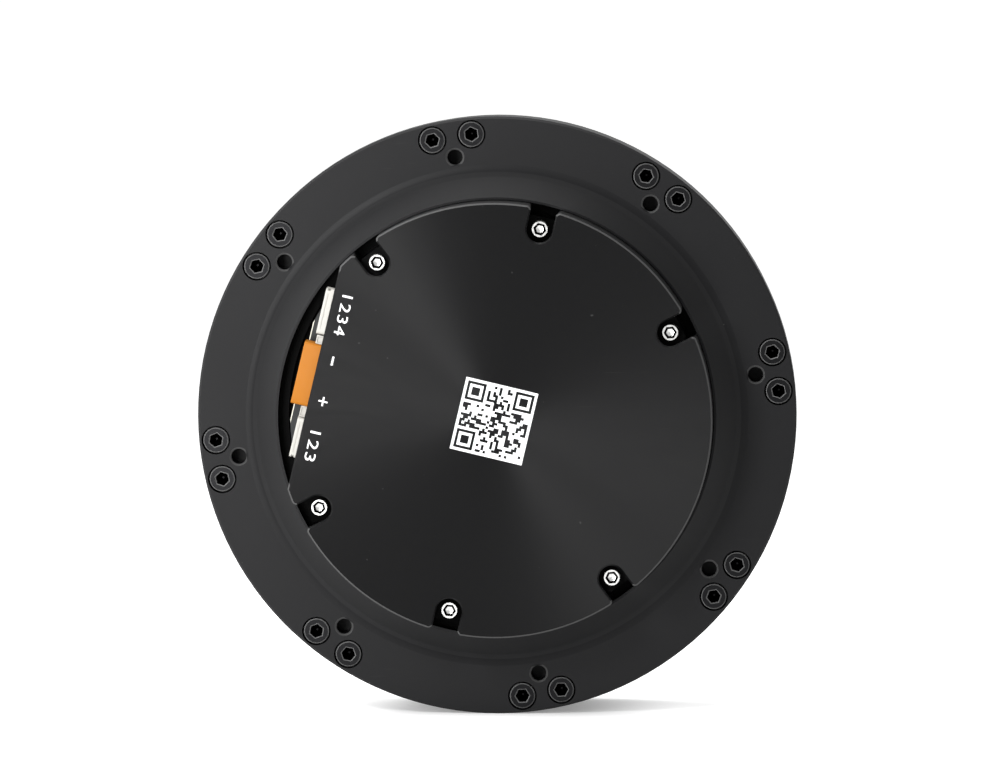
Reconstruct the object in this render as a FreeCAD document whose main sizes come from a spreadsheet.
import FreeCAD, Part
import math
import os
import Sketcher
from FreeCAD import Placement, Rotation, Vector

# Robot joint actuator: an outrunner motor around a planetary reducer, with its
# driver board under the rear cover.
# Every piece is drawn about its own Z axis, which is the output axis and points
# to the output side. X points to the connector window and Y runs along it.
# Z = 0 is the rear face of the mounting flange. SEAT turns the drawing into the
# part's frame: output axis along +Y, window turned by clocking from +X to +Z.
# Sizes are millimetres and degrees. Names ending in _rear, _front or _end are
# places along Z.

SIZES = {
    # whole part
    "clocking": 166.7,
    # planetary gear train, from which the rings outside it follow
    "gear_module": 0.8,
    "sun_teeth": 12,
    "planet_teeth": 24,
    "ring_teeth": 60,
    "pressure_angle": 20.0,
    "addendum": 0.85,
    "dedendum": 1.15,
    "tooth_thinning": 0.05,
    "planet_count": 3,
    "gear_side_gap": 0.3,
    "planet_width": 7.8,
    "planet_rim": 3.68,
    "pin_radius": 3.0,
    "pin_gap": 0.03,
    "pin_press_depth": 4.0,
    "ring_gear_wall": 1.68,
    "ring_gear_flange": 1.4,
    "ring_gear_relief": 0.18,
    # rotor bell and shaft
    "bell_tube_gap": 0.6,
    "bell_tube_wall": 1.5,
    "bell_floor_gap": 0.2,
    "bell_floor": 1.3,
    "bell_plate_gap": 0.5,
    "bell_plate": 1.5,
    "shaft_radius": 4.0,
    "shaft_flange": 0.8,
    "shaft_flange_rim": 2.4,
    "shaft_nose_radius": 2.5,
    "shaft_nose_end": 0.1,
    "shaft_rear_recess": 0.2,
    "bell_screw_offset": 3.2,
    "bell_screw_count": 6,
    "bell_screw_radius": 0.95,
    "bell_screw_head_radius": 1.7,
    "bell_screw_head_height": 0.8,
    "encoder_magnet_radius": 3.0,
    "encoder_magnet_height": 1.2,
    # stator
    "stator_tube_gap": 0.6,
    "stator_tube_wall": 1.7,
    "stator_shoulder": 1.0,
    "stator_stack": 8.8,
    "stator_yoke": 2.0,
    "stator_depth": 9.0,
    "tooth_count": 36,
    "tooth_half_width": 1.0,
    "slot_opening": 1.17,
    "shoe_thickness": 0.9,
    "shoe_slope": 0.8,
    "coil_spacing": 0.7,
    "coil_overhang": 2.2,
    "coil_web_gap": 1.2,
    "coil_radial_gap": 0.2,
    "coil_tooth_gap": 0.05,
    "lead_radius": 0.7,
    "lead_count": 3,
    "lead_side": 180.0,
    "lead_hole_gap": 0.15,
    # magnets and back iron
    "air_gap": 0.5,
    "magnet_thickness": 2.0,
    "magnet_spacing": 0.47,
    "magnet_overhang": 0.4,
    "magnet_count": 42,
    "iron_thickness": 1.4,
    "iron_seat_gap": 0.1,
    "iron_spigot_gap": 0.6,
    "can_gap": 0.5,
    # front housing
    "can_wall": 4.0,
    "front_plate": 4.2,
    "ring_flange_gap": 0.5,
    "taper_length": 8.5,
    "taper_depth": 1.5,
    "edge_length": 2.0,
    "edge_depth": 3.5,
    "front_hole_inset": 4.0,
    "front_hole_floor": 0.6,
    # rear housing
    "flange_lip": 0.5,
    "flange_thickness": 4.0,
    "flange_chamfer": 0.35,
    "hub_foot_inset": 2.85,
    "hub_foot_fillet": 2.8,
    "hub_slope": 4.0,
    "hub_height": 3.9,
    "rim_edge": 0.4,
    "bay_floor": 0.5,
    "web_thickness": 2.5,
    "spigot_gap": 0.05,
    "spigot_wall": 3.85,
    "spigot_length": 1.5,
    # bolts and holes of the mounting flange
    "group_count": 8,
    "group_angle": 22.5,
    "pair_half_angle": 4.0,
    "bolt_inset": 1.75,
    "bolt_radius": 1.2,
    "bolt_length": 9.0,
    "bolt_head_radius": 2.25,
    "bolt_head_height": 2.45,
    "bolt_hex": 2.0,
    "bolt_hex_depth": 1.3,
    "counterbore_gap": 0.1,
    "counterbore_depth": 2.6,
    "thread_gap": 0.05,
    "thread_runout": 1.0,
    "mount_inset": 1.65,
    "mount_hole_radius": 1.25,
    "mount_hole_floor": 0.5,
    "mount_hole_chamfer": 0.3,
    # rear cover
    "cover_gap": 0.1,
    "cover_seat_depth": 2.9,
    "cover_seat_width": 1.5,
    "cut_margin": 1.6,
    "cover_rise": 7.1,
    "cover_plate": 1.8,
    "cover_wall": 1.5,
    "cover_chamfer": 0.25,
    "window_depth": 5.35,
    "notch_half_width": 2.1,
    "notch_mouth_fillet": 0.7,
    "notch_depth": 3.4,
    "pad_radius": 2.6,
    # screws of the rear cover
    "cover_screw_inset": 2.0,
    "cover_screw_first": 40.0,
    "cover_screw_step": 50.0,
    "cover_screw_radius": 0.75,
    "cover_screw_grip": 3.1,
    "cover_screws_per_side": 3,
    "cover_screw_head_radius": 1.45,
    "cover_screw_head_height": 1.6,
    "cover_screw_hex": 1.5,
    "cover_screw_hex_depth": 0.8,
    "boss_radius": 2.2,
    # driver board and what it carries
    "board_gap": 0.4,
    "board_thickness": 1.6,
    "board_flat_depth": 1.0,
    "board_hole_gap": 0.2,
    "connector_wall": 0.6,
    "contact_size": 0.5,
    "power_width": 10.3,
    "power_middle": 0.15,
    "power_overhang": 0.4,
    "power_length": 11.0,
    "power_height": 5.2,
    "power_pin_radius": 1.0,
    "power_pin_spacing": 5.0,
    "power_cavity": 5.5,
    "four_way_width": 7.6,
    "four_way_middle": 10.7,
    "four_way_setback": 1.0,
    "three_way_width": 6.7,
    "three_way_middle": -10.35,
    "three_way_setback": 1.3,
    "header_length": 5.0,
    "header_height": 4.1,
    "header_cavity": 3.6,
    "contact_pitch": 1.25,
    "chip_height": 1.0,
    "transistor_ring": 21.0,
    "transistor_first": 30.0,
    "transistor_length": 6.0,
    "transistor_width": 5.0,
    "transistor_count": 6,
    "controller_size": 7.0,
    "controller_ring": 12.0,
    "gate_driver_size": 5.0,
    "encoder_chip_size": 4.0,
    "capacitor_radius": 3.1,
    "capacitor_height": 5.0,
    "capacitor_ring": 21.0,
    "capacitor_count": 4,
    "capacitor_step": 24.0,
    # small bearings
    "rear_bearing_recess": 0.2,
    "rear_bearing_width": 4.0,
    "rear_bearing_section": 4.0,
    "rear_bearing_wall": 2.5,
    "bearing_lip": 1.0,
    "lip_thickness": 1.0,
    "nose_bearing_recess": 0.4,
    "nose_bearing_width": 2.5,
    "nose_bearing_section": 2.5,
    "race_wall": 1.1,
    "race_gap": 0.4,
    # output bearing, its retainer and the seal
    "bearing_hub_inset": 3.1,
    "bearing_section_inner": 3.3,
    "bearing_section_outer": 3.7,
    "roller_seat": 2.4,
    "roller_gap": 0.03,
    "roller_count": 24,
    "ring_split": 0.3,
    "lock_ring_width": 2.5,
    "lock_ring_thickness": 1.2,
    "gear_screw_offset": 2.0,
    "ring_gear_screw_angle": 30.0,
    "retainer_screw_offset": 4.0,
    "retainer_width": 6.5,
    "ring_flange_width": 5.0,
    "retainer_thickness": 1.5,
    "retainer_thread_floor": 0.7,
    "seal_gap": 0.2,
    "seal_width": 1.3,
    "seal_thickness": 1.1,
    "small_screw_count": 6,
    "small_screw_radius": 0.95,
    "small_screw_head_radius": 1.8,
    "small_screw_head_height": 1.1,
    "small_screw_gap": 0.1,
    # carrier
    "carrier_gap": 0.3,
    "carrier_plate": 1.7,
    "carrier_rim": 2.32,
    "carrier_bore_gap": 0.7,
    "post_offset": 1.6,
    "post_radius": 3.6,
    "post_screw_length": 5.5,
    # output flange
    "output_disc": 2.0,
    "output_step": 0.4,
    "output_chamfer": 0.3,
    "output_bolt_inset": 3.0,
    "output_bolt_count": 6,
    "output_bolt_hole_radius": 1.65,
    "output_bolt_hole_depth": 6.0,
    "dowel_angle": 30.0,
    "dowel_count": 2,
    "dowel_radius": 2.0,
    "dowel_depth": 4.0,
    "pilot_step": 3.0,
    "pilot_depth": 2.5,
    "cap_thickness": 2.0,
}

# Sizes that follow from the ones above, each from what it sits in or on.
LINKED = {
    # radii, from the gears outwards
    "planet_ring": "gear_module*sun_teeth*0.5 + gear_module*planet_teeth*0.5",
    "planet_bore_radius": "gear_module*planet_teeth*0.5 - gear_module*dedendum - planet_rim",
    "ring_gear_tip": "gear_module*ring_teeth*0.5 - gear_module*addendum",
    "ring_gear_root": "gear_module*ring_teeth*0.5 + gear_module*dedendum",
    "ring_gear_radius": "ring_gear_root + ring_gear_wall",
    "bell_bore": "ring_gear_radius + bell_tube_gap",
    "bell_tube_radius": "bell_bore + bell_tube_wall",
    "stator_tube_bore": "bell_tube_radius + stator_tube_gap",
    "stator_seat_radius": "stator_tube_bore + stator_tube_wall",
    "lead_ring": "stator_seat_radius + stator_yoke",
    "stator_radius": "stator_seat_radius + stator_depth",
    "iron_bore": "stator_radius + air_gap + magnet_thickness + iron_seat_gap",
    "iron_radius": "iron_bore + iron_thickness",
    "front_bore_radius": "iron_radius + can_gap",
    "front_radius": "front_bore_radius + can_wall",
    "front_taper_radius": "front_radius - taper_depth",
    "front_edge_radius": "front_radius - edge_depth",
    "front_hole_ring": "front_bore_radius - front_hole_inset",
    "flange_radius": "front_radius + flange_lip",
    "spigot_radius": "front_bore_radius - spigot_gap",
    "bolt_ring": "front_bore_radius + bolt_inset",
    "mount_ring": "front_bore_radius - mount_inset",
    "hub_foot_radius": "mount_ring - hub_foot_inset",
    "hub_radius": "hub_foot_radius - hub_slope",
    "hub_bore": "hub_radius - rim_edge",
    "beyond_hub": "hub_radius + cut_margin",
    # radii of the rear cover, the board and the connectors
    "cover_radius": "hub_bore - cover_gap",
    "cover_bore": "cover_radius - cover_wall",
    "bay_radius": "cover_radius - cover_seat_width",
    "window_distance": "cover_radius - window_depth",
    "cover_screw_ring": "bay_radius - cover_screw_inset",
    "board_radius": "bay_radius - board_gap",
    "board_flat": "board_radius - board_flat_depth",
    "power_face": "board_flat + power_overhang",
    "four_way_face": "board_flat - four_way_setback",
    "three_way_face": "board_flat - three_way_setback",
    # radii round the shaft and the carrier
    "rear_bearing_radius": "shaft_radius + rear_bearing_section",
    "rear_bearing_boss": "rear_bearing_radius + rear_bearing_wall",
    "rear_bearing_lip": "rear_bearing_radius - bearing_lip",
    "nose_bearing_radius": "shaft_nose_radius + nose_bearing_section",
    "bell_screw_ring": "shaft_radius + bell_screw_offset",
    "shaft_flange_radius": "bell_screw_ring + shaft_flange_rim",
    "carrier_plate_bore": "shaft_flange_radius + carrier_bore_gap",
    "carrier_plate_radius": "ring_gear_tip - carrier_rim",
    "post_ring": "planet_ring + post_offset",
    "bearing_bore_radius": "ring_gear_root + ring_gear_relief - bearing_hub_inset",
    "roller_ring": "bearing_bore_radius + bearing_section_inner",
    "bearing_outer_radius": "roller_ring + bearing_section_outer",
    "lock_ring_radius": "bearing_bore_radius + lock_ring_width",
    "ring_gear_screw_ring": "bearing_outer_radius + gear_screw_offset",
    "ring_gear_flange_radius": "bearing_outer_radius + ring_flange_width",
    "retainer_screw_ring": "bearing_outer_radius + retainer_screw_offset",
    "retainer_radius": "bearing_outer_radius + retainer_width",
    "output_radius": "roller_ring - output_step",
    "seal_bore": "output_radius + seal_gap",
    "retainer_bore_radius": "seal_bore + seal_width",
    "output_bolt_ring": "bearing_bore_radius - output_bolt_inset",
    "pilot_radius": "nose_bearing_radius + pilot_step",
    # places along the axis, from the rear cover to the output face
    "cover_height": "hub_height + cover_rise",
    "pad_height": "cover_height - notch_depth",
    "cover_seat": "cover_seat_depth - hub_height",
    "board_front": "board_thickness - hub_height",
    "cover_screw_length": "pad_height + board_front + cover_screw_grip",
    "rear_bearing_rear": "bay_floor + rear_bearing_recess",
    "rear_bearing_front": "rear_bearing_rear + rear_bearing_width",
    "web_front": "bay_floor + web_thickness",
    "spigot_end": "flange_thickness + spigot_length",
    "mount_hole_depth": "spigot_end - mount_hole_floor",
    "shaft_rear": "rear_bearing_rear - shaft_rear_recess",
    "bell_rear": "rear_bearing_front + bell_floor_gap",
    "bell_floor_front": "bell_rear + bell_floor",
    "shaft_flange_front": "bell_floor_front + shaft_flange",
    "carrier_plate_rear": "bell_floor_front + carrier_gap",
    "carrier_plate_front": "carrier_plate_rear + carrier_plate",
    "planet_rear": "carrier_plate_front + gear_side_gap",
    "planet_front": "planet_rear + planet_width",
    "carrier_front": "planet_front + gear_side_gap",
    "nose_bearing_rear": "carrier_front + nose_bearing_recess",
    "shaft_front": "nose_bearing_rear + nose_bearing_width + shaft_nose_end",
    "stator_rear": "web_front + coil_web_gap + coil_overhang",
    "stator_front": "stator_rear + stator_stack",
    "iron_rear": "spigot_end + iron_spigot_gap",
    "bell_plate_rear": "stator_front + coil_overhang + bell_plate_gap",
    "bell_front": "bell_plate_rear + bell_plate",
    "ring_flange_rear": "bell_front + ring_flange_gap",
    "plate_rear": "ring_flange_rear + ring_gear_flange",
    "front_face": "plate_rear + front_plate",
    "front_taper_front": "front_face - edge_length",
    "front_taper_rear": "front_taper_front - taper_length",
    "front_hole_depth": "front_plate - front_hole_floor",
    "retainer_thread": "front_plate - retainer_thread_floor",
    "retainer_front": "front_face + retainer_thickness",
    "output_face": "front_face + output_disc",
    "pilot_floor": "output_face - pilot_depth",
}

doc = FreeCAD.newDocument("RobotJointActuator")
sheet = doc.addObject("Spreadsheet::Sheet", "Sizes")
for row, (alias, value) in enumerate(SIZES.items(), start=1):
    sheet.set(f"A{row}", alias)
    sheet.set(f"B{row}", str(value))
    sheet.setAlias(f"B{row}", alias)
doc.recompute()

ORIGIN = Vector(0, 0, 0)
AXIS = Vector(0, 0, 1)
STANDING = Rotation(Vector(1, 0, 0), -90)
CLOCKED = Rotation(AXIS, -sheet.get("clocking"))
SEAT = Placement(ORIGIN, STANDING * CLOCKED)
pieces = []


# ---------------------------------------------------------------- sizes as text

def number(text):
    """Value of a sum of sizes and products, such as 'pin_radius + pin_gap'."""
    total = 0.0
    sign = 1
    for word in text.split():
        if word in "+-":
            sign = 1 if word == "+" else -1
        else:
            total += sign * math.prod(value(name) for name in word.split("*"))
    return total


def value(name):
    """Value of a size, of a linked size or of a plain number."""
    if name in LINKED:
        return number(LINKED[name])
    return sheet.get(name) if name in SIZES else float(name)


def bound(text):
    """The same sum as an expression that reads the sheet."""
    return " ".join("*".join(term(name) for name in word.split("*")) for word in text.split())


def term(name):
    """A size as the sheet's cell, and a linked size as its own sum."""
    if name in LINKED:
        return "(" + bound(LINKED[name]) + ")"
    return "Sizes." + name if name in SIZES else name


def polar(ring, angle, height=0.0):
    """Point at a radius, an angle in degrees and a height."""
    turn = math.radians(angle)
    return Vector(ring * math.cos(turn), ring * math.sin(turn), height)


def angles(count, first=0.0):
    """Evenly spaced angles round the axis."""
    return [first + 360.0 * k / count for k in range(int(count))]


def cover_screw_angles():
    """The cover screws, as many on each side of the window's centre line."""
    count = int(number("cover_screws_per_side"))
    side = [number("cover_screw_first") + k * number("cover_screw_step") for k in range(count)]
    return side + [-angle for angle in side]


# ------------------------------------------------------------ modelling helpers

def new_body(label):
    """An empty body, seated in the part's frame."""
    body = doc.addObject("PartDesign::Body", label)
    body.Label = label
    body.Placement = SEAT
    pieces.append(body)
    return body


def new_sketch(body, name, role, height=None, angle=None):
    """A sketch on an origin plane, lifted along Z and turned when asked."""
    sketch = body.newObject("Sketcher::SketchObject", name)
    planes = [plane for plane in body.Origin.OriginFeatures if plane.Role == role]
    sketch.AttachmentSupport = [(planes[0], "")]
    sketch.MapMode = "FlatFace"
    if height:
        turn = Rotation(AXIS, number(angle or "0"))
        sketch.AttachmentOffset = Placement(Vector(0, 0, number(height)), turn)
        sketch.setExpression("AttachmentOffset.Base.z", bound(height))
    if angle:
        sketch.setExpression("AttachmentOffset.Rotation.Angle", bound(angle))
    return sketch


def dimension(sketch, kind, where, text):
    """A dimension from the sketch's origin, bound to the sheet."""
    index = sketch.addConstraint(Sketcher.Constraint(kind, -1, 1, *where, number(text)))
    sketch.setExpression(f"Constraints[{index}]", bound(text))


def outline(sketch, points):
    """A closed outline whose corners are pairs of sums of sizes."""
    corners = [Vector(number(x), number(y), 0) for x, y in points]
    for start, end in zip(corners, corners[1:] + corners[:1]):
        sketch.addGeometry(Part.LineSegment(start, end))
    for k, (x, y) in enumerate(points):
        sketch.addConstraint(Sketcher.Constraint("Coincident", k - 1 if k else len(points) - 1, 2, k, 1))
        dimension(sketch, "DistanceX", (k, 1), x)
        dimension(sketch, "DistanceY", (k, 1), y)


def turned(label, points):
    """A body turned about Z from an outline of (radius, height) corners."""
    body = new_body(label)
    sketch = new_sketch(body, label + "_profile", "XZ_Plane")
    outline(sketch, points)
    turn = body.newObject("PartDesign::Revolution", label + "_turned")
    turn.Profile = sketch
    turn.ReferenceAxis = (sketch, ["V_Axis"])
    turn.Angle = 360
    doc.recompute()
    return body


def ring(label, inner, outer, rear, front):
    """A plain turned ring."""
    return turned(label, [(inner, rear), (outer, rear), (outer, front), (inner, front)])


def circle_sketch(body, name, radius, centre_ring, height, angle):
    """A sketch of one circle at a radius and an angle from the axis."""
    sketch = new_sketch(body, name, "XY_Plane", height, angle)
    sketch.addGeometry(Part.Circle(Vector(number(centre_ring), 0, 0), AXIS, number(radius)))
    sketch.addConstraint(Sketcher.Constraint("PointOnObject", 0, 3, -1))
    dimension(sketch, "DistanceX", (0, 3), centre_ring)
    size = sketch.addConstraint(Sketcher.Constraint("Radius", 0, number(radius)))
    sketch.setExpression(f"Constraints[{size}]", bound(radius))
    return sketch


def repeat(body, feature, sketch, count, sweep="360"):
    """Copies a feature round the axis."""
    pattern = body.newObject("PartDesign::PolarPattern", feature.Name + "_ring")
    pattern.Originals = [feature]
    pattern.Axis = (sketch, ["N_Axis"])
    pattern.Angle = number(sweep)
    pattern.Occurrences = int(count)
    body.Tip = pattern
    doc.recompute()
    return pattern


def sunk(body, name, sketch, depth, forwards=True):
    """A pocket from the sketch's plane, into the output side or out of it."""
    before = body.Shape.Volume
    pocket = body.newObject("PartDesign::Pocket", name)
    pocket.Profile = sketch
    pocket.Length = number(depth)
    pocket.setExpression("Length", bound(depth))
    pocket.Reversed = forwards
    doc.recompute()
    if body.Shape.Volume >= before:
        raise ValueError(name + " cuts nothing")
    return pocket


def hole_ring(body, name, radius, centre_ring, height, depth, count, angle, forwards=True, sweep="360"):
    """Round blind or through holes on a circle."""
    sketch = circle_sketch(body, name + "_circle", radius, centre_ring, height, angle)
    pocket = sunk(body, name, sketch, depth, forwards)
    return repeat(body, pocket, sketch, count, sweep)


def boss_ring(body, name, radius, centre_ring, height, length, count, angle, forwards=True, sweep="360"):
    """Round bosses on a circle."""
    sketch = circle_sketch(body, name + "_circle", radius, centre_ring, height, angle)
    pad = body.newObject("PartDesign::Pad", name)
    pad.Profile = sketch
    pad.Length = number(length)
    pad.setExpression("Length", bound(length))
    pad.Reversed = not forwards
    doc.recompute()
    return repeat(body, pad, sketch, count, sweep)


def edge_names(shape, wanted):
    """Names of the edges that a test picks."""
    return [f"Edge{k}" for k, edge in enumerate(shape.Edges, start=1) if wanted(edge)]


def dressed(body, kind, name, size, wanted):
    """A fillet or a chamfer on picked edges of the body's last feature."""
    base = body.Tip
    feature = body.newObject("PartDesign::" + kind, name)
    feature.Base = (base, edge_names(base.Shape, wanted))
    prop = "Radius" if kind == "Fillet" else "Size"
    setattr(feature, prop, number(size))
    feature.setExpression(prop, bound(size))
    doc.recompute()
    return feature


def round_edge(radius, height):
    """A test for a circular edge about any axis parallel to Z."""
    def wanted(edge):
        curve = edge.Curve
        if not isinstance(curve, Part.Circle):
            return False
        return abs(curve.Radius - number(radius)) < 1e-4 and abs(curve.Center.z - number(height)) < 1e-4
    return wanted


def shaped(label, shape):
    """A piece whose shape is worked out here."""
    piece = doc.addObject("Part::Feature", label)
    piece.Label = label
    seated = SEAT.multiply(shape.Placement)
    piece.Shape = shape
    piece.Placement = seated
    pieces.append(piece)
    return piece


def rod(radius, rear, front, ring_radius=0.0, angle=0.0):
    """A round bar parallel to the axis."""
    return Part.makeCylinder(radius, front - rear, polar(ring_radius, angle, rear), AXIS)


def block(x_size, y_size, rear, front, x_middle=0.0, y_middle=0.0, angle=0.0):
    """A box set by its middle, turned about the axis."""
    corner = Vector(x_middle - x_size / 2, y_middle - y_size / 2, rear)
    box = Part.makeBox(x_size, y_size, front - rear, corner)
    box.rotate(ORIGIN, AXIS, angle)
    return box


def prism(points, rear, front):
    """A straight prism on a closed outline of (x, y) corners."""
    corners = [Vector(x, y, rear) for x, y in points]
    wire = Part.makePolygon(corners + corners[:1])
    return Part.Face(wire).extrude(Vector(0, 0, front - rear))


def socket_screw(radius, length, head_radius, head_height, hexagon, hex_depth):
    """A socket screw with its head's seat at Z = 0 and its point forwards."""
    head = rod(head_radius, -head_height, 0)
    corner = hexagon / math.sqrt(3)
    flats = [(corner * math.cos(math.radians(a)), corner * math.sin(math.radians(a))) for a in angles(6)]
    head = head.cut(prism(flats, -head_height, hex_depth - head_height))
    return head.fuse(rod(radius, 0, length)).removeSplitter()


def plain_screw(radius, length, head_radius, head_height):
    """A hidden screw with its head's seat at Z = 0 and its point forwards."""
    return rod(head_radius, -head_height, 0).fuse(rod(radius, 0, length)).removeSplitter()


def screws(label, screw, centre_ring, places, seat, backwards=False):
    """The same screw at several angles of a circle."""
    copies = []
    for angle in places:
        copy = screw.copy()
        if backwards:
            copy.rotate(ORIGIN, Vector(1, 0, 0), 180)
        copy.translate(polar(number(centre_ring), angle, number(seat)))
        copies.append(copy)
    return shaped(label, Part.makeCompound(copies))


# ----------------------------------------------------------------- rear housing

COVER_COUNT = number("cover_screws_per_side")
COVER_SWEEP = "cover_screw_step*cover_screws_per_side - cover_screw_step"
MIRRORED_FIRST = "- cover_screw_first + cover_screw_step - cover_screw_step*cover_screws_per_side"
COVER_HALVES = (("a", "cover_screw_first"), ("b", MIRRORED_FIRST))


def rear_housing():
    """Mounting flange, connector bay, stator tube and rear bearing seat."""
    lip_rear = "rear_bearing_rear - lip_thickness"
    body = turned("rear_housing", [
        ("hub_bore", "- hub_height"),
        ("hub_radius", "- hub_height"),
        ("hub_foot_radius", "0"),
        ("flange_radius - flange_chamfer", "0"),
        ("flange_radius", "flange_chamfer"),
        ("flange_radius", "flange_thickness"),
        ("spigot_radius", "flange_thickness"),
        ("spigot_radius", "spigot_end"),
        ("spigot_radius - spigot_wall", "spigot_end"),
        ("spigot_radius - spigot_wall", "web_front"),
        ("stator_seat_radius + stator_shoulder", "web_front"),
        ("stator_seat_radius + stator_shoulder", "stator_rear"),
        ("stator_seat_radius", "stator_rear"),
        ("stator_seat_radius", "stator_front"),
        ("stator_tube_bore", "stator_front"),
        ("stator_tube_bore", "web_front"),
        ("rear_bearing_boss", "web_front"),
        ("rear_bearing_boss", "rear_bearing_front"),
        ("rear_bearing_radius", "rear_bearing_front"),
        ("rear_bearing_radius", "rear_bearing_rear"),
        ("rear_bearing_lip", "rear_bearing_rear"),
        ("rear_bearing_lip", lip_rear),
        ("rear_bearing_boss", lip_rear),
        ("rear_bearing_boss", "bay_floor"),
        ("bay_radius", "bay_floor"),
        ("bay_radius", "cover_seat"),
        ("hub_bore", "cover_seat"),
    ])
    dressed(body, "Fillet", "hub_foot", "hub_foot_fillet", round_edge("hub_foot_radius", "0"))
    for half, first in COVER_HALVES:
        boss_ring(body, "board_boss_" + half, "boss_radius", "cover_screw_ring", "board_front",
                  "bay_floor - board_front", COVER_COUNT, first, sweep=COVER_SWEEP)
        hole_ring(body, "boss_thread_" + half, "cover_screw_radius + thread_gap", "cover_screw_ring",
                  "board_front", "cover_screw_grip + thread_gap", COVER_COUNT, first, sweep=COVER_SWEEP)
    count = number("group_count")
    for side, angle in (("a", "group_angle - pair_half_angle"), ("b", "group_angle + pair_half_angle")):
        hole_ring(body, "bolt_head_seat_" + side, "bolt_head_radius + counterbore_gap", "bolt_ring",
                  "0", "counterbore_depth", count, angle)
        hole_ring(body, "bolt_hole_" + side, "bolt_radius + thread_gap", "bolt_ring",
                  "0", "flange_thickness", count, angle)
    hole_ring(body, "mount_hole", "mount_hole_radius", "mount_ring", "0", "mount_hole_depth",
              count, "group_angle")
    dressed(body, "Chamfer", "mount_hole_mouth", "mount_hole_chamfer", round_edge("mount_hole_radius", "0"))
    pitch = 360.0 / number("tooth_count")
    for k, angle in enumerate(lead_angles(pitch)):
        hole_ring(body, f"lead_hole_{k + 1}", "lead_radius + lead_hole_gap", "lead_ring",
                  "bay_floor", "web_thickness", 1, f"{angle}")
    return body


def lead_angles(pitch):
    """Phase leads leave neighbouring coils opposite the connectors."""
    count = int(number("lead_count"))
    return [number("lead_side") + pitch * (k - (count - 1) / 2) for k in range(count)]


def bolt_angles():
    """Two bolts beside each mounting hole."""
    half = number("pair_half_angle")
    return [a + side * half for a in angles(number("group_count"), number("group_angle")) for side in (-1, 1)]


def flange_bolts():
    """The socket bolts that join the housings."""
    bolt = socket_screw(number("bolt_radius"), number("bolt_length"), number("bolt_head_radius"),
                        number("bolt_head_height"), number("bolt_hex"), number("bolt_hex_depth"))
    return screws("flange_bolts", bolt, "bolt_ring", bolt_angles(), "counterbore_depth")


# ------------------------------------------------------------------- rear cover

def notch_sketch(body, name, angle):
    """A round-ended slot that runs out through the cover's wall."""
    sketch = new_sketch(body, name, "XY_Plane", "- cover_height", angle)
    inner = number("cover_screw_ring")
    outer = number("beyond_hub")
    half = number("notch_half_width")
    sketch.addGeometry(Part.LineSegment(Vector(inner, -half, 0), Vector(outer, -half, 0)))
    sketch.addGeometry(Part.LineSegment(Vector(outer, -half, 0), Vector(outer, half, 0)))
    sketch.addGeometry(Part.LineSegment(Vector(outer, half, 0), Vector(inner, half, 0)))
    end = Part.ArcOfCircle(Part.Circle(Vector(inner, 0, 0), AXIS, half), math.pi / 2, 3 * math.pi / 2)
    sketch.addGeometry(end)
    for k in range(4):
        sketch.addConstraint(Sketcher.Constraint("Coincident", k, 2, (k + 1) % 4, 1))
    for place, ring_size, side in (((0, 1), "cover_screw_ring", "- notch_half_width"),
                                   ((1, 1), "beyond_hub", "- notch_half_width"),
                                   ((2, 1), "beyond_hub", "notch_half_width"),
                                   ((3, 1), "cover_screw_ring", "notch_half_width")):
        dimension(sketch, "DistanceX", place, ring_size)
        dimension(sketch, "DistanceY", place, side)
    dimension(sketch, "DistanceX", (3, 3), "cover_screw_ring")
    return sketch


def rear_cover():
    """Cap over the driver board, cut off along the connectors."""
    plate_front = "cover_plate - cover_height"
    body = turned("rear_cover", [
        ("0", "- cover_height"),
        ("cover_radius", "- cover_height"),
        ("cover_radius", "cover_seat"),
        ("cover_bore", "cover_seat"),
        ("cover_bore", plate_front),
        ("0", plate_front),
    ])
    for half, first in COVER_HALVES:
        boss_ring(body, "screw_pad_" + half, "pad_radius", "cover_screw_ring", "- hub_height",
                  "cover_rise - cover_plate", COVER_COUNT, first, forwards=False, sweep=COVER_SWEEP)
        sketch = notch_sketch(body, "notch_outline_" + half, first)
        notch = sunk(body, "notch_" + half, sketch, "notch_depth")
        repeat(body, notch, sketch, COVER_COUNT, COVER_SWEEP)
        mouth = new_sketch(body, "mouth_outline_" + half, "XY_Plane", "- cover_height", first)
        outline(mouth, [
            ("cover_bore - cover_gap", "- notch_half_width"),
            ("beyond_hub", "- notch_half_width"),
            ("beyond_hub", "notch_half_width"),
            ("cover_bore - cover_gap", "notch_half_width"),
        ])
        opening = sunk(body, "mouth_" + half, mouth, "cover_height + cover_seat")
        repeat(body, opening, mouth, COVER_COUNT, COVER_SWEEP)
        hole_ring(body, "pad_hole_" + half, "cover_screw_radius + board_hole_gap", "cover_screw_ring",
                  "- cover_height", "cover_rise", COVER_COUNT, first, sweep=COVER_SWEEP)
    window = new_sketch(body, "window_outline", "XY_Plane", "- cover_height")
    outline(window, [
        ("window_distance", "- hub_radius"),
        ("beyond_hub", "- hub_radius"),
        ("beyond_hub", "hub_radius"),
        ("window_distance", "hub_radius"),
    ])
    sunk(body, "window", window, "cover_height")
    dressed(body, "Fillet", "notch_corners", "notch_mouth_fillet", notch_corner)
    dressed(body, "Chamfer", "cover_edge", "cover_chamfer", cover_rim)
    return body


def notch_corner(edge):
    """Upright edges where a notch runs out through the cover's wall."""
    box = edge.BoundBox
    upright = box.XLength < 1e-4 and box.YLength < 1e-4
    reach = math.hypot(box.XMin, box.YMin)
    off_window = box.XMin < number("window_distance") - 1e-3
    at_top = abs(box.ZMin + number("cover_height")) < 1e-4
    return upright and at_top and off_window and abs(reach - number("cover_radius")) < 1e-4


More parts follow.
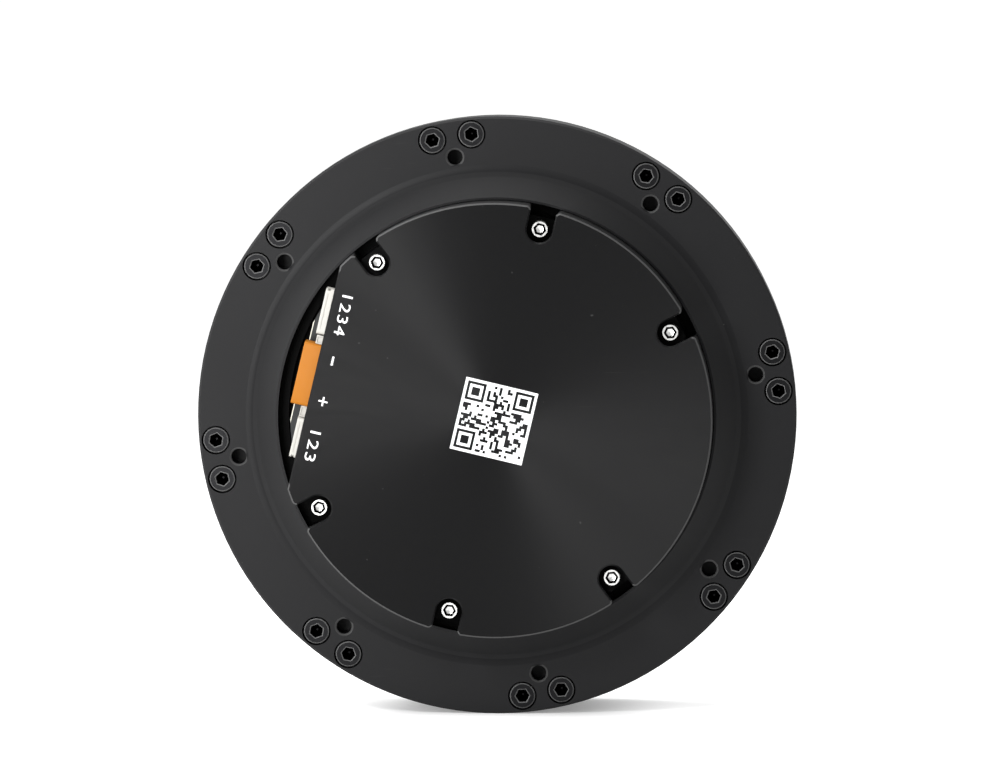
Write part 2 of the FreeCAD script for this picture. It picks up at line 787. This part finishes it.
def cover_rim(edge):
    """Every edge round the cover's rear face."""
    box = edge.BoundBox
    return abs(box.ZMin + number("cover_height")) < 1e-4 and box.ZLength < 1e-4


def cover_screws():
    """Small socket screws in the cover's notches."""
    screw = socket_screw(number("cover_screw_radius"), number("cover_screw_length"),
                         number("cover_screw_head_radius"), number("cover_screw_head_height"),
                         number("cover_screw_hex"), number("cover_screw_hex_depth"))
    return screws("cover_screws", screw, "cover_screw_ring", cover_screw_angles(), "- pad_height")


# ----------------------------------------------------------------- driver board

def driver_board():
    """Round board with a straight edge under the connectors."""
    body = ring("driver_board", "0", "board_radius", "- hub_height", "board_front")
    flat = new_sketch(body, "board_edge", "XY_Plane", "- hub_height")
    outline(flat, [
        ("board_flat", "- board_radius"),
        ("board_radius + cut_margin", "- board_radius"),
        ("board_radius + cut_margin", "board_radius"),
        ("board_flat", "board_radius"),
    ])
    sunk(body, "straight_edge", flat, "board_thickness")
    for half, first in COVER_HALVES:
        hole_ring(body, "board_hole_" + half, "cover_screw_radius + board_hole_gap", "cover_screw_ring",
                  "- hub_height", "board_thickness", COVER_COUNT, first, sweep=COVER_SWEEP)
    return body


def box_at(name, sizes, corner):
    """A Part box whose three sizes and corner are bound to the sheet."""
    box = doc.addObject("Part::Box", name)
    for prop, text in zip(("Length", "Width", "Height"), sizes):
        setattr(box, prop, number(text))
        box.setExpression(prop, bound(text))
    box.Placement = Placement(Vector(*[number(text) for text in corner]), Rotation())
    for prop, text in zip("xyz", corner):
        box.setExpression("Placement.Base." + prop, bound(text))
    return box


def connector(label, width, middle, face, length, height, cavity):
    """A right-angle shell on the board, open towards the window."""
    socket = doc.addObject("Part::Cut", label)
    base = f"- hub_height - {height}"
    shell = box_at(label + "_shell", (length, width, height), (f"{face} - {length}", "0", base))
    shell.setExpression("Placement.Base.y", f"Sizes.{middle} - Sizes.{width} / 2")
    inside_width = f"{width} - connector_wall - connector_wall"
    inside_height = f"{height} - connector_wall - connector_wall"
    hollow = box_at(label + "_hollow", (cavity + " + connector_wall", inside_width, inside_height),
                    (f"{face} - {cavity}", "0", base + " + connector_wall"))
    hollow.setExpression("Placement.Base.y", f"Sizes.{middle} - Sizes.{width} / 2 + Sizes.connector_wall")
    socket.Base = shell
    socket.Tool = hollow
    socket.Label = label
    socket.Placement = SEAT
    pieces.append(socket)
    return socket


def contacts(label, count, middle, face, height, cavity):
    """Square contact pins at the standard pitch inside a shell."""
    size = number("contact_size")
    level = -number("hub_height") - number(height) / 2
    front = number(face) - number("connector_wall")
    back = number(face) - number(cavity)
    pins = []
    for k in range(count):
        y_middle = number(middle) + number("contact_pitch") * (k - (count - 1) / 2)
        pins.append(block(front - back, size, level - size / 2, level + size / 2,
                          (front + back) / 2, y_middle))
    return shaped(label, Part.makeCompound(pins))


def power_pins():
    """Two round power pins."""
    level = -number("hub_height") - number("power_height") / 2
    back = number("power_face") - number("power_cavity")
    reach = number("power_cavity") - number("connector_wall")
    pins = []
    for side in (-1, 1):
        start = Vector(back, number("power_middle") + side * number("power_pin_spacing") / 2, level)
        pins.append(Part.makeCylinder(number("power_pin_radius"), reach, start, Vector(1, 0, 0)))
    return shaped("power_pins", Part.makeCompound(pins))


def board_parts():
    """Chips on the motor side of the board and capacitors on its rear side."""
    front = number("board_front")
    top = front + number("chip_height")
    long_side = number("transistor_length")
    short_side = number("transistor_width")
    chips = [block(long_side, short_side, front, top, number("transistor_ring"), 0, a)
             for a in angles(number("transistor_count"), number("transistor_first"))]
    shaped("power_transistors", Part.makeCompound(chips))
    size = number("controller_size")
    shaped("microcontroller", block(size, size, front, top, number("controller_ring"), 0, 90))
    size = number("gate_driver_size")
    shaped("gate_driver", block(size, size, front, top, number("controller_ring"), 0, -90))
    size = number("encoder_chip_size")
    shaped("encoder_chip", block(size, size, front, top))
    rear = -number("hub_height")
    count = int(number("capacitor_count"))
    cans = []
    for k in range(count):
        angle = number("lead_side") + number("capacitor_step") * (k - (count - 1) / 2)
        cans.append(rod(number("capacitor_radius"), rear - number("capacitor_height"), rear,
                        number("capacitor_ring"), angle))
    shaped("bus_capacitors", Part.makeCompound(cans))


def phase_leads():
    """Copper leads from the coils to the board."""
    pitch = 360.0 / number("tooth_count")
    board_front = number("board_front")
    coil_rear = number("stator_rear - coil_overhang")
    leads = [rod(number("lead_radius"), board_front, coil_rear, number("lead_ring"), a)
             for a in lead_angles(pitch)]
    return shaped("phase_leads", Part.makeCompound(leads))


# ----------------------------------------------------------------------- stator

def shoe_half_width():
    """Half a tooth's shoe, which leaves the slot opening between two shoes."""
    half_pitch = math.pi / number("tooth_count")
    return number("stator_radius") * math.sin(half_pitch) - number("slot_opening") / 2


def stator_core():
    """Lamination stack with a shoe on each tooth."""
    yoke = number("lead_ring")
    tooth = number("tooth_half_width")
    shoe = shoe_half_width()
    tip = math.sqrt(number("stator_radius") ** 2 - shoe ** 2)
    shoulder = tip - number("shoe_thickness")
    neck = shoulder - number("shoe_slope")
    root = math.sqrt(yoke ** 2 - tooth ** 2)
    half_outline = [(root, -tooth), (neck, -tooth), (shoulder, -shoe), (tip, -shoe)]
    whole = half_outline + [(x, -y) for x, y in reversed(half_outline)]
    points = []
    for angle in angles(number("tooth_count")):
        turn = math.radians(angle)
        points += [(x * math.cos(turn) - y * math.sin(turn), x * math.sin(turn) + y * math.cos(turn))
                   for x, y in whole]
    rear = number("stator_rear")
    front = number("stator_front")
    core = prism(points, rear, front).cut(rod(number("stator_seat_radius"), rear, front))
    return shaped("stator_core", core)


def stator_windings():
    """One coil round each tooth."""
    gap = number("coil_tooth_gap")
    tooth = number("tooth_half_width") + gap
    inner = number("lead_ring + coil_radial_gap")
    half = inner * math.sin(math.pi / number("tooth_count")) - number("coil_spacing") / 2
    tip = math.sqrt(number("stator_radius") ** 2 - shoe_half_width() ** 2)
    outer = tip - number("shoe_thickness") - number("shoe_slope") - number("coil_radial_gap")
    rear = number("stator_rear")
    front = number("stator_front")
    over = number("coil_overhang")
    middle = (inner + outer) / 2
    length = outer - inner
    coil = block(length, 2 * half, rear - over, front + over, middle)
    coil = coil.cut(block(length, 2 * tooth, rear - gap, front + gap, middle))
    coils = []
    for angle in angles(number("tooth_count")):
        copy = coil.copy()
        copy.rotate(ORIGIN, AXIS, angle)
        coils.append(copy)
    return shaped("stator_windings", Part.makeCompound(coils))


# ------------------------------------------------------------------------ rotor

def rotor_bell():
    """Dished carrier of the magnet ring, with the reducer inside the dish."""
    body = turned("rotor_bell", [
        ("shaft_radius", "bell_rear"),
        ("bell_tube_radius", "bell_rear"),
        ("bell_tube_radius", "bell_plate_rear"),
        ("iron_radius", "bell_plate_rear"),
        ("iron_radius", "bell_front"),
        ("bell_bore", "bell_front"),
        ("bell_bore", "bell_floor_front"),
        ("shaft_radius", "bell_floor_front"),
    ])
    hole_ring(body, "bell_screw_hole", "bell_screw_radius + thread_gap", "bell_screw_ring",
              "bell_rear", "bell_floor", number("bell_screw_count"), "0")
    return body


def rotor_magnets():
    """Flat magnets on the inside of the back iron."""
    rear = number("stator_rear - magnet_overhang")
    front = number("stator_front + magnet_overhang")
    thickness = number("magnet_thickness")
    face = number("stator_radius + air_gap")
    width = 2 * face * math.tan(math.pi / number("magnet_count")) - number("magnet_spacing")
    magnets = [block(thickness, width, rear, front, face + thickness / 2, 0, a)
               for a in angles(number("magnet_count"))]
    return shaped("rotor_magnets", Part.makeCompound(magnets))


def rotor_shaft():
    """Stepped shaft: rear journal, bell flange and nose."""
    body = turned("rotor_shaft", [
        ("0", "shaft_rear"),
        ("shaft_radius", "shaft_rear"),
        ("shaft_radius", "bell_floor_front"),
        ("shaft_flange_radius", "bell_floor_front"),
        ("shaft_flange_radius", "shaft_flange_front"),
        ("shaft_nose_radius", "shaft_flange_front"),
        ("shaft_nose_radius", "shaft_front"),
        ("0", "shaft_front"),
    ])
    hole_ring(body, "shaft_screw_hole", "bell_screw_radius + thread_gap", "bell_screw_ring",
              "bell_floor_front", "shaft_flange", number("bell_screw_count"), "0")
    return body


def bell_screws():
    """Low-head screws that join the shaft's flange to the bell."""
    screw = plain_screw(number("bell_screw_radius"), number("shaft_flange + bell_floor"),
                        number("bell_screw_head_radius"), number("bell_screw_head_height"))
    return screws("bell_screws", screw, "bell_screw_ring", angles(number("bell_screw_count")),
                  "shaft_flange_front", backwards=True)


# ------------------------------------------------------------ planetary gearing

def pitch_radius(teeth):
    """Pitch radius of a gear."""
    return number("gear_module") * teeth / 2


def involute(angle):
    """Involute function of a pressure angle in radians."""
    return math.tan(angle) - angle


def tooth_points(teeth, inner, outer, thinning):
    """Outline of a gear whose first tooth is centred on X."""
    pressure = math.radians(number("pressure_angle"))
    pitch = pitch_radius(teeth)
    base = pitch * math.cos(pressure)
    start = max(inner, base)
    radii = [start, (start + outer) / 2, outer]
    if inner < base:
        radii.insert(0, inner)
    half = math.pi / (2 * teeth) - thinning / (2 * pitch)
    flank = []
    for radius in radii:
        at_radius = math.acos(min(1.0, base / radius))
        flank.append((radius, half + involute(pressure) - involute(at_radius)))
    points = []
    for k in range(int(teeth)):
        centre = 2 * math.pi * k / teeth
        for radius, turn in flank:
            points.append((radius * math.cos(centre - turn), radius * math.sin(centre - turn)))
        for radius, turn in reversed(flank):
            points.append((radius * math.cos(centre + turn), radius * math.sin(centre + turn)))
    return points


def external_gear(teeth, rear, front, bore):
    """A spur gear with a round bore."""
    module_size = number("gear_module")
    pitch = pitch_radius(teeth)
    points = tooth_points(teeth, pitch - number("dedendum") * module_size,
                          pitch + number("addendum") * module_size, number("tooth_thinning"))
    return prism(points, rear, front).cut(rod(bore, rear, front))


def planet_places():
    """Angle and centre of each planet."""
    return [(a, polar(number("planet_ring"), a)) for a in angles(number("planet_count"))]


def sun_gear():
    """Pinion on the rotor shaft, with a gap facing each planet."""
    gear = external_gear(number("sun_teeth"), number("shaft_flange_front"), number("planet_front"),
                         number("shaft_nose_radius"))
    gear.rotate(ORIGIN, AXIS, 180.0 / number("sun_teeth"))
    return shaped("sun_gear", gear)


def planets():
    """Planet gears and their bushes, a tooth of each pointing outwards."""
    rear = number("planet_rear")
    front = number("planet_front")
    bore = number("planet_bore_radius")
    gear = external_gear(number("planet_teeth"), rear, front, bore)
    bush = rod(bore, rear, front).cut(rod(number("pin_radius + pin_gap"), rear, front))
    for k, (angle, centre) in enumerate(planet_places(), start=1):
        for name, shape in (("planet_gear", gear), ("planet_bush", bush)):
            copy = shape.copy()
            copy.rotate(ORIGIN, AXIS, angle)
            copy.translate(centre)
            shaped(f"{name}_{k}", copy)


def ring_gear():
    """Fixed internal gear that hangs from the front housing by its flange."""
    teeth = number("ring_teeth")
    tip = number("ring_gear_tip")
    root = number("ring_gear_root")
    rear = number("carrier_plate_front")
    teeth_front = number("planet_front")
    flange_rear = number("ring_flange_rear")
    front = number("plate_rear")
    gear = rod(number("ring_gear_radius"), rear, front)
    gear = gear.fuse(rod(number("ring_gear_flange_radius"), flange_rear, front))
    gear = gear.cut(rod(root + number("ring_gear_relief"), teeth_front, front))
    gear = gear.cut(prism(tooth_points(teeth, tip, root, -number("tooth_thinning")), rear, teeth_front))
    for angle in angles(number("small_screw_count"), number("ring_gear_screw_angle")):
        hole = rod(number("small_screw_radius + thread_gap"), flange_rear, front,
                   number("ring_gear_screw_ring"), angle)
        gear = gear.cut(hole)
    return shaped("ring_gear", gear.removeSplitter())


# ---------------------------------------------------------------------- carrier

def output_flange():
    """Output disc, bearing hub and the posts that carry the rear plate."""
    chamfer_radius = "output_radius - output_chamfer"
    body = turned("output_flange", [
        ("shaft_nose_radius + race_gap", "carrier_front"),
        ("bearing_bore_radius", "carrier_front"),
        ("bearing_bore_radius", "front_face"),
        ("output_radius", "front_face"),
        ("output_radius", "output_face - output_chamfer"),
        (chamfer_radius, "output_face"),
        ("pilot_radius", "output_face"),
        ("pilot_radius", "pilot_floor"),
        ("nose_bearing_radius", "pilot_floor"),
        ("nose_bearing_radius", "nose_bearing_rear"),
        ("shaft_nose_radius + race_gap", "nose_bearing_rear"),
    ])
    between = f"{180.0 / number('planet_count')}"
    boss_ring(body, "post", "post_radius", "post_ring", "carrier_front",
              "carrier_front - carrier_plate_front", number("planet_count"), between, forwards=False)
    hole_ring(body, "post_thread", "small_screw_radius + thread_gap", "post_ring",
              "carrier_plate_front", "post_screw_length", number("planet_count"), between)
    pin_hole(body, "pin_hole", "carrier_front", "pin_press_depth")
    hole_ring(body, "output_bolt_hole", "output_bolt_hole_radius", "output_bolt_ring", "output_face",
              "output_bolt_hole_depth", number("output_bolt_count"), "0", forwards=False)
    hole_ring(body, "dowel_hole", "dowel_radius", "output_bolt_ring", "output_face", "dowel_depth",
              number("dowel_count"), "dowel_angle", forwards=False)
    return body


def pin_hole(body, name, height, depth):
    """A press hole for each planet pin."""
    return hole_ring(body, name, "pin_radius", "planet_ring", height, depth, number("planet_count"), "0")


def carrier_plate():
    """Rear plate that steadies the planet pins."""
    between = f"{180.0 / number('planet_count')}"
    body = ring("carrier_plate", "carrier_plate_bore", "carrier_plate_radius", "carrier_plate_rear",
                "carrier_plate_front")
    pin_hole(body, "plate_pin_hole", "carrier_plate_rear", "carrier_plate")
    hole_ring(body, "plate_head_seat", "small_screw_head_radius + small_screw_gap", "post_ring",
              "carrier_plate_rear", "small_screw_head_height", number("planet_count"), between)
    hole_ring(body, "plate_screw_hole", "small_screw_radius + thread_gap", "post_ring",
              "carrier_plate_rear", "carrier_plate", number("planet_count"), between)
    return body


def small_screw(length):
    """The low screw used inside the reducer."""
    return plain_screw(number("small_screw_radius"), length,
                       number("small_screw_head_radius"), number("small_screw_head_height"))


def carrier_fasteners():
    """Planet pins and the screws of the carrier plate."""
    pins = []
    pin_front = number("carrier_front + pin_press_depth")
    for _, centre in planet_places():
        pin = rod(number("pin_radius"), number("carrier_plate_rear"), pin_front)
        pin.translate(centre)
        pins.append(pin)
    shaped("planet_pins", Part.makeCompound(pins))
    length = number("post_screw_length + carrier_plate - small_screw_head_height - thread_gap")
    spacing = 180.0 / number("planet_count")
    screws("carrier_screws", small_screw(length), "post_ring",
           angles(number("planet_count"), spacing), "carrier_plate_rear + small_screw_head_height")


# ---------------------------------------------------------------- front housing

def front_housing():
    """Motor can with the output bearing's seat."""
    body = turned("front_housing", [
        ("front_bore_radius", "flange_thickness"),
        ("front_radius", "flange_thickness"),
        ("front_radius", "front_taper_rear"),
        ("front_taper_radius", "front_taper_front"),
        ("front_edge_radius", "front_face"),
        ("bearing_outer_radius", "front_face"),
        ("bearing_outer_radius", "plate_rear"),
        ("front_bore_radius", "plate_rear"),
    ])
    count = number("group_count")
    for side, angle in (("a", "group_angle - pair_half_angle"), ("b", "group_angle + pair_half_angle")):
        hole_ring(body, "bolt_thread_" + side, "bolt_radius + thread_gap", "bolt_ring", "flange_thickness",
                  "counterbore_depth + bolt_length + thread_runout - flange_thickness", count, angle)
    hole_ring(body, "front_mount_hole", "mount_hole_radius", "front_hole_ring", "front_face",
              "front_hole_depth", count, "group_angle", forwards=False)
    screws_here = number("small_screw_count")
    hole_ring(body, "retainer_thread", "small_screw_radius + thread_gap", "retainer_screw_ring",
              "front_face", "retainer_thread", screws_here, "0", forwards=False)
    hole_ring(body, "gear_screw_seat", "small_screw_head_radius + small_screw_gap", "ring_gear_screw_ring",
              "front_face", "small_screw_head_height + small_screw_gap", screws_here,
              "ring_gear_screw_angle", forwards=False)
    hole_ring(body, "gear_screw_hole", "small_screw_radius + thread_gap", "ring_gear_screw_ring",
              "front_face", "front_plate", screws_here, "ring_gear_screw_angle", forwards=False)
    return body


def bearing_retainer():
    """Ring that clamps the output bearing's outer ring."""
    body = ring("bearing_retainer", "retainer_bore_radius", "retainer_radius", "front_face", "retainer_front")
    count = number("small_screw_count")
    hole_ring(body, "retainer_head_seat", "small_screw_head_radius + small_screw_gap",
              "retainer_screw_ring", "retainer_front", "small_screw_head_height", count, "0", forwards=False)
    hole_ring(body, "retainer_hole", "small_screw_radius + thread_gap", "retainer_screw_ring",
              "retainer_front", "retainer_thickness", count, "0", forwards=False)
    return body


def front_screws():
    """Screws of the retainer and of the ring gear, their points to the rear."""
    count = number("small_screw_count")
    seat = "retainer_front - small_screw_head_height"
    length = number("retainer_thread + retainer_thickness - small_screw_head_height - thread_gap")
    screws("retainer_screws", small_screw(length), "retainer_screw_ring", angles(count), seat, backwards=True)
    seat = "front_face - small_screw_head_height - small_screw_gap"
    length = number("front_plate + ring_gear_flange - small_screw_head_height - small_screw_gap")
    screws("ring_gear_screws", small_screw(length), "ring_gear_screw_ring",
           angles(count, number("ring_gear_screw_angle")), seat, backwards=True)


# --------------------------------------------------------------------- bearings

def output_bearing():
    """Crossed-roller bearing between the front housing and the output flange."""
    middle = number("plate_rear + front_face") / 2
    half_diagonal = number("roller_seat") / math.sqrt(2)
    split = number("ring_split")
    depth = half_diagonal - split
    pitch = number("roller_ring")
    rear = number("plate_rear")
    front = number("front_face")
    for label, side, wall in (("output_bearing_outer", 1, number("bearing_outer_radius")),
                              ("output_bearing_inner", -1, number("bearing_bore_radius"))):
        face = pitch + side * split
        section = [(wall, rear), (face, rear), (face, middle - depth), (pitch + side * half_diagonal, middle),
                   (face, middle + depth), (face, front), (wall, front)]
        corners = [Vector(radius, 0, height) for radius, height in section]
        profile = Part.Face(Part.makePolygon(corners + corners[:1]))
        shaped(label, profile.revolve(ORIGIN, AXIS, 360))
    size = number("roller_seat") - 2 * number("roller_gap")
    rollers = []
    for k, angle in enumerate(angles(number("roller_count"))):
        roller = Part.makeCylinder(size / 2, size, Vector(0, 0, -size / 2), AXIS)
        roller.rotate(ORIGIN, Vector(0, 1, 0), 45 if k % 2 else -45)
        roller.translate(Vector(pitch, 0, middle))
        roller.rotate(ORIGIN, AXIS, angle)
        rollers.append(roller)
    shaped("output_bearing_rollers", Part.makeCompound(rollers))


def ball_bearing(name, bore, radius, rear, width):
    """The two rings of a small shielded bearing."""
    front = rear + " + " + width
    ring(name + "_outer", f"{radius} - race_wall", radius, rear, front)
    ring(name + "_inner", bore, f"{bore} + race_wall", rear, front)


# ------------------------------------------------------------------- the pieces

rear_housing()
flange_bolts()
rear_cover()
cover_screws()
driver_board()
connector("power_connector", "power_width", "power_middle", "power_face", "power_length",
          "power_height", "power_cavity")
power_pins()
connector("four_way_connector", "four_way_width", "four_way_middle", "four_way_face", "header_length",
          "header_height", "header_cavity")
contacts("four_way_contacts", 4, "four_way_middle", "four_way_face", "header_height", "header_cavity")
connector("three_way_connector", "three_way_width", "three_way_middle", "three_way_face", "header_length",
          "header_height", "header_cavity")
contacts("three_way_contacts", 3, "three_way_middle", "three_way_face", "header_height", "header_cavity")
board_parts()
phase_leads()
stator_core()
stator_windings()
rotor_bell()
ring("back_iron", "iron_bore", "iron_radius", "iron_rear", "bell_plate_rear")
rotor_magnets()
rotor_shaft()
bell_screws()
shaped("encoder_magnet", rod(number("encoder_magnet_radius"), number("shaft_rear - encoder_magnet_height"),
                             number("shaft_rear")))
sun_gear()
planets()
ring_gear()
output_flange()
carrier_plate()
carrier_fasteners()
front_housing()
bearing_retainer()
front_screws()
output_bearing()
ball_bearing("rear_bearing", "shaft_radius", "rear_bearing_radius", "rear_bearing_rear", "rear_bearing_width")
ball_bearing("nose_bearing", "shaft_nose_radius", "nose_bearing_radius", "nose_bearing_rear",
             "nose_bearing_width")
ring("output_seal", "seal_bore", "retainer_bore_radius", "front_face + seal_gap",
     "front_face + seal_gap + seal_thickness")
ring("bearing_lock_ring", "bearing_bore_radius", "lock_ring_radius", "plate_rear - lock_ring_thickness",
     "plate_rear")
ring("centre_cap", "0", "nose_bearing_radius", "pilot_floor - cap_thickness", "pilot_floor")

doc.recompute()
for item in doc.Objects:
    if "Invalid" in item.State or "Error" in item.State:
        raise ValueError(item.Name + " did not compute")
for piece in pieces:
    if piece.Shape.isNull() or not piece.Shape.isValid():
        raise ValueError(piece.Label + " has no valid shape")

os.makedirs("parts", exist_ok=True)
for piece in pieces:
    piece.Shape.exportStep(f"parts/{piece.Label}.step")
